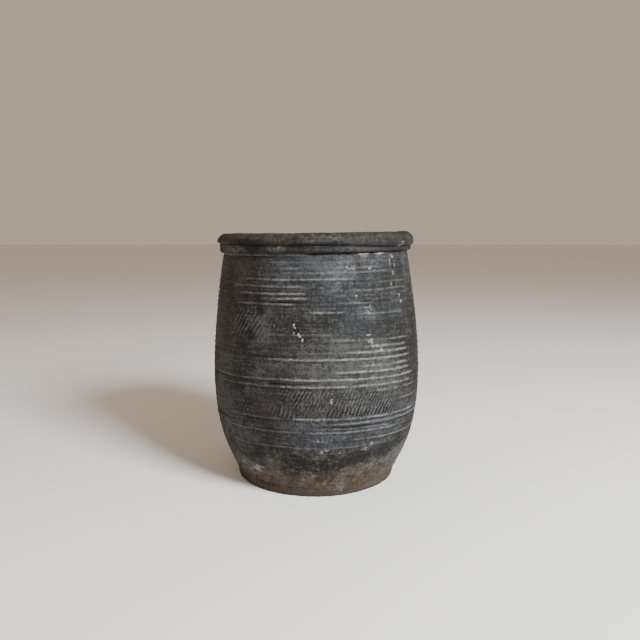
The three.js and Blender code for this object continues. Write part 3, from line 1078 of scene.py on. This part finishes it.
bead_inner = NECK_RADIUS + SLIP
bead_top = roll_base - SLIP
widest = NECK_RADIUS + ROLL_REACH
rim_top = jar_top - WORN_DOWN
widest_height = rim_top - ROLL_SLOPE_HEIGHT
bead_widest = NECK_RADIUS + BEAD_REACH
crease = bead_widest - CREASE_DEPTH
bead_foot = collar_base + BEAD_LIFT
bead_swell = (bead_widest - BEAD_SWELL_WIDTH, bead_foot + BEAD_SWELL_HEIGHT)
bead_outline = [(bead_inner, bead_foot, JOIN), (NECK_RADIUS + 1.4, bead_foot - 0.2, OUTSIDE)]
bead_outline += arc(bead_swell, BEAD_SWELL_WIDTH, BEAD_SWELL_HEIGHT, -70, 0, 8, OUTSIDE)
bead_side = (bead_widest, bead_top - BEAD_TOP_ROUND - 0.2)
bead_outline += line((bead_widest, bead_swell[1] + 0.6), bead_side, 0.6, OUTSIDE)
bead_shoulder = (crease, bead_top - BEAD_TOP_ROUND)
bead_outline += arc(bead_shoulder, bead_widest - crease, BEAD_TOP_ROUND, 0, 85, 5, OUTSIDE)
bead_outline += line((crease, bead_top), (bead_inner, bead_top), 1.5, JOIN)
bead_outline += line((bead_inner, bead_top), (bead_inner, bead_foot), 3.5, JOIN)
make_piece(
    "collar_bead",
    "rim_bead",
    bead_outline,
    1,
    900,
    COLLAR_SURFACE,
    rim_clay,
    BEAD_DROOP,
)

mouth = inner_radius(collar_base) - MOUTH_STEP
rounded = mouth + MOUTH_ROUND
swell = widest_height - roll_base
roll_outline = arc((crease, widest_height), widest - crease, swell, -88, 0, 12, OUTSIDE)
slope_steps = 14
for i in range(1, slope_steps + 1):
    share = i / slope_steps
    full = math.sin(math.pi * share)
    radius = widest - ROLL_SLOPE_WIDTH * share**1.25 + full * SLOPE_OUT
    z = widest_height + ROLL_SLOPE_HEIGHT * share**0.9 + full * SLOPE_UP
    roll_outline.append((radius, min(z, rim_top), OUTSIDE))
flat_start = (widest - ROLL_SLOPE_WIDTH - 0.8, rim_top - 0.1)
roll_outline += line(flat_start, (rounded, rim_top - RIM_FALL), 0.9, OUTSIDE)
upper_round = (rounded, rim_top - RIM_FALL - MOUTH_ROUND)
roll_outline += arc(upper_round, MOUTH_ROUND, MOUTH_ROUND, 90, 180, 5, OUTSIDE)
lower_round = (rounded, roll_base + MOUTH_ROUND)
roll_outline += line((mouth, upper_round[1] - 1.1), (mouth, lower_round[1]), 1.4, INSIDE)
roll_outline += arc(lower_round, MOUTH_ROUND, MOUTH_ROUND, 180, 270, 5, INSIDE)
roll_outline += line((rounded, roll_base), (crease, roll_base), 3.0, JOIN)[1:]
make_piece("collar_roll", "rim_roll", roll_outline, 1, 960, COLLAR_SURFACE, rim_clay)

# ---- Floor, light and camera -----------------------------------------------------------------
# A pale plaster floor, one big soft light from the right and above, as from a window, and
# plain pale surroundings.

PLASTER = (0.82, 0.81, 0.80, 1)
PALE_ROOM, ROOM_STRENGTH = (0.68, 0.54, 0.42, 1), 0.75

floor_mesh = bpy.data.meshes.new("floor")
reach = 30.0
floor_mesh.from_pydata(
    [(-reach, -reach, 0), (reach, -reach, 0), (reach, reach, 0), (-reach, reach, 0)],
    [],
    [(0, 1, 2, 3)],
)
floor = bpy.data.objects.new("floor", floor_mesh)
bpy.context.scene.collection.objects.link(floor)
plaster = bpy.data.materials.new("pale_plaster")
plaster.use_nodes = True
plaster.node_tree.nodes["Principled BSDF"].inputs["Base Color"].default_value = PLASTER
plaster.node_tree.nodes["Principled BSDF"].inputs["Roughness"].default_value = 0.8
floor_mesh.materials.append(plaster)

world = bpy.data.worlds.new("pale_room")
world.use_nodes = True
world.node_tree.nodes["Background"].inputs["Color"].default_value = PALE_ROOM
world.node_tree.nodes["Background"].inputs["Strength"].default_value = ROOM_STRENGTH
bpy.context.scene.world = world


def soft_light(name, place, target, size, power, colour):
    """A square soft light at place, turned to face target."""
    light = bpy.data.lights.new(name, "AREA")
    light.size, light.energy, light.color = size, power, colour
    lamp = bpy.data.objects.new(name, light)
    lamp.location = place
    lamp.rotation_euler = (Vector(target) - Vector(place)).to_track_quat("-Z", "Y").to_euler()
    bpy.context.scene.collection.objects.link(lamp)
    return lamp


MID_JAR = (0, 0, 0.15)
soft_light("window", (1.30, -1.35, 1.34), MID_JAR, 0.7, 132.0, (0.93, 0.97, 1.0))
soft_light("bounce", (-1.6, -0.6, 0.5), MID_JAR, 1.6, 6.0, (1.0, 0.86, 0.72))

CAMERA_TILT = 7.683  # downwards, in degrees
camera_data = bpy.data.cameras.new("camera")
camera_data.sensor_width = 36.0
camera_data.lens = 34.27
camera = bpy.data.objects.new("camera", camera_data)
camera.location = (0.0065, -0.8767, 0.3381)
camera.rotation_euler = (math.radians(90 - CAMERA_TILT), 0, 0)
bpy.context.scene.collection.objects.link(camera)
bpy.context.scene.camera = camera
